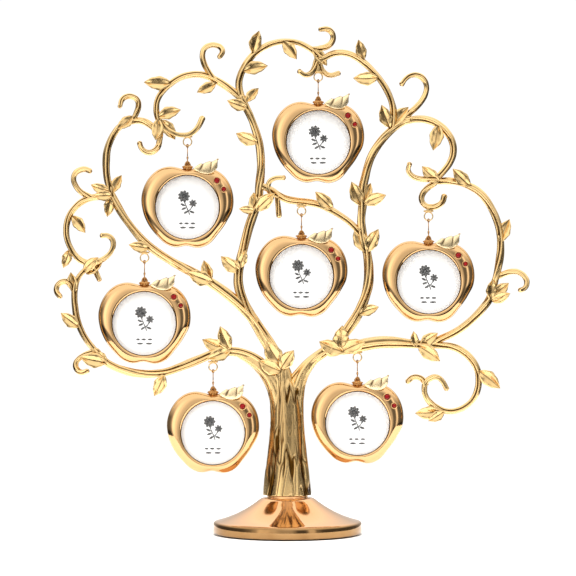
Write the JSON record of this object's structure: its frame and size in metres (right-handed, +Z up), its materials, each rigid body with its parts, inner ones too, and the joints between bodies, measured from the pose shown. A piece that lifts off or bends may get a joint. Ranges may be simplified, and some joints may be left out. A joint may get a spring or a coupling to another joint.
{
  "type": "photo tree stand",
  "caption": "Cast metal tree on a round foot, with apple-shaped photo frames that hang from rings under its branches.",
  "frame": {"origin": "middle of the underside of the felt pad under the round foot", "axes": "+Z up the trunk, +X to the right seen from the front, -Y towards the viewer"},
  "size_m": [0.2252, 0.0706, 0.2404],
  "materials": {
    "cast_gold": "gold-plated casting, satin, with dark relief",
    "apple_gold": "gold-plated casting, polished",
    "polished_gold": "gold-plated, mirror polished",
    "link_wire": "gold-plated wire",
    "clear_window": "clear acrylic disc",
    "photo_card": "white card with a grey print",
    "back_plate": "pressed sheet, satin",
    "red_gem": "cut red stone",
    "felt": "black felt",
    "screw_steel": "zinc-plated"
  },
  "bodies": {
    "root": {"trunk": "cast_gold", "left_diagonal_limb": "cast_gold", "right_centre_limb": "cast_gold", "left_lower_limb": "cast_gold", "right_lower_limb": "cast_gold", "left_centre_limb": "cast_gold", "centre_arch": "cast_gold", "left_upper_vine": "cast_gold", "left_loop_vine": "cast_gold", "left_outer_vine": "cast_gold", "top_left_vine": "cast_gold", "top_centre_vine": "cast_gold", "top_right_vine": "cast_gold", "right_outer_vine": "cast_gold", "right_scroll": "cast_gold", "pedestal": "polished_gold", "felt_pad": "felt", "fixing_screw": "screw_steel"},
    "hanging_link_1": {"link_1": "link_wire"},
    "apple_frame_1": {"apple_1_shell": "apple_gold", "apple_1_window": "clear_window", "apple_1_photo_card": "photo_card", "apple_1_gems": "red_gem"},
    "back_plate_1": {"apple_1_back_plate": "back_plate"},
    "hanging_link_2": {"link_2": "link_wire"},
    "apple_frame_2": {"apple_2_shell": "apple_gold", "apple_2_window": "clear_window", "apple_2_photo_card": "photo_card", "apple_2_gems": "red_gem"},
    "back_plate_2": {"apple_2_back_plate": "back_plate"},
    "hanging_link_3": {"link_3": "link_wire"},
    "apple_frame_3": {"apple_3_shell": "apple_gold", "apple_3_window": "clear_window", "apple_3_photo_card": "photo_card", "apple_3_gems": "red_gem"},
    "back_plate_3": {"apple_3_back_plate": "back_plate"},
    "hanging_link_4": {"link_4": "link_wire"},
    "apple_frame_4": {"apple_4_shell": "apple_gold", "apple_4_window": "clear_window", "apple_4_photo_card": "photo_card", "apple_4_gems": "red_gem"},
    "back_plate_4": {"apple_4_back_plate": "back_plate"},
    "hanging_link_5": {"link_5": "link_wire"},
    "apple_frame_5": {"apple_5_shell": "apple_gold", "apple_5_window": "clear_window", "apple_5_photo_card": "photo_card", "apple_5_gems": "red_gem"},
    "back_plate_5": {"apple_5_back_plate": "back_plate"},
    "hanging_link_6": {"link_6": "link_wire"},
    "apple_frame_6": {"apple_6_shell": "apple_gold", "apple_6_window": "clear_window", "apple_6_photo_card": "photo_card", "apple_6_gems": "red_gem"},
    "back_plate_6": {"apple_6_back_plate": "back_plate"},
    "hanging_link_7": {"link_7": "link_wire"},
    "apple_frame_7": {"apple_7_shell": "apple_gold", "apple_7_window": "clear_window", "apple_7_photo_card": "photo_card", "apple_7_gems": "red_gem"},
    "back_plate_7": {"apple_7_back_plate": "back_plate"}
  },
  "joints": [
    {"name": "link_swing_1", "type": "hinge", "parent": "root", "child": "hanging_link_1", "pos_m": [-0.04743, 0, 0.18402], "axis": [1, 0, 0], "range_deg": [-50, 50]},
    {"name": "apple_sway_1", "type": "hinge", "parent": "hanging_link_1", "child": "apple_frame_1", "pos_m": [-0.04743, 0, 0.17572], "axis": [0, 1, 0], "range_deg": [-8, 13]},
    {"name": "back_plate_pull_1", "type": "slide", "parent": "apple_frame_1", "child": "back_plate_1", "axis": [0, 1, 0], "range_m": [0, 0.012]},
    {"name": "link_swing_2", "type": "hinge", "parent": "root", "child": "hanging_link_2", "pos_m": [-0.06783, 0, 0.129], "axis": [1, 0, 0], "range_deg": [-50, 50]},
    {"name": "apple_sway_2", "type": "hinge", "parent": "hanging_link_2", "child": "apple_frame_2", "pos_m": [-0.06783, 0, 0.1207], "axis": [0, 1, 0], "range_deg": [-15, 12]},
    {"name": "back_plate_pull_2", "type": "slide", "parent": "apple_frame_2", "child": "back_plate_2", "axis": [0, 1, 0], "range_m": [0, 0.012]},
    {"name": "link_swing_3", "type": "hinge", "parent": "root", "child": "hanging_link_3", "pos_m": [0.01456, 0, 0.21476], "axis": [1, 0, 0], "range_deg": [-50, 50]},
    {"name": "apple_sway_3", "type": "hinge", "parent": "hanging_link_3", "child": "apple_frame_3", "pos_m": [0.01456, 0, 0.20646], "axis": [0, 1, 0], "range_deg": [-12, 9]},
    {"name": "back_plate_pull_3", "type": "slide", "parent": "apple_frame_3", "child": "back_plate_3", "axis": [0, 1, 0], "range_m": [0, 0.012]},
    {"name": "link_swing_4", "type": "hinge", "parent": "root", "child": "hanging_link_4", "pos_m": [0.00664, 0, 0.1512], "axis": [1, 0, 0], "range_deg": [-50, 50]},
    {"name": "apple_sway_4", "type": "hinge", "parent": "hanging_link_4", "child": "apple_frame_4", "pos_m": [0.00664, 0, 0.1429], "axis": [0, 1, 0], "range_deg": [-18, 10]},
    {"name": "back_plate_pull_4", "type": "slide", "parent": "apple_frame_4", "child": "back_plate_4", "axis": [0, 1, 0], "range_m": [0, 0.012]},
    {"name": "link_swing_5", "type": "hinge", "parent": "root", "child": "hanging_link_5", "pos_m": [0.06688, 0, 0.14869], "axis": [1, 0, 0], "range_deg": [-50, 50]},
    {"name": "apple_sway_5", "type": "hinge", "parent": "hanging_link_5", "child": "apple_frame_5", "pos_m": [0.06688, 0, 0.14039], "axis": [0, 1, 0], "range_deg": [-20, 10]},
    {"name": "back_plate_pull_5", "type": "slide", "parent": "apple_frame_5", "child": "back_plate_5", "axis": [0, 1, 0], "range_m": [0, 0.012]},
    {"name": "link_swing_6", "type": "hinge", "parent": "root", "child": "hanging_link_6", "pos_m": [-0.03529, 0, 0.07721], "axis": [1, 0, 0], "range_deg": [-50, 50]},
    {"name": "apple_sway_6", "type": "hinge", "parent": "hanging_link_6", "child": "apple_frame_6", "pos_m": [-0.03529, 0, 0.06891], "axis": [0, 1, 0], "range_deg": [-15, 20]},
    {"name": "back_plate_pull_6", "type": "slide", "parent": "apple_frame_6", "child": "back_plate_6", "axis": [0, 1, 0], "range_m": [0, 0.012]},
    {"name": "link_swing_7", "type": "hinge", "parent": "root", "child": "hanging_link_7", "pos_m": [0.03315, 0, 0.08171], "axis": [1, 0, 0], "range_deg": [-50, 50]},
    {"name": "apple_sway_7", "type": "hinge", "parent": "hanging_link_7", "child": "apple_frame_7", "pos_m": [0.03315, 0, 0.07341], "axis": [0, 1, 0], "range_deg": [-16, 10]},
    {"name": "back_plate_pull_7", "type": "slide", "parent": "apple_frame_7", "child": "back_plate_7", "axis": [0, 1, 0], "range_m": [0, 0.012]}
  ]
}
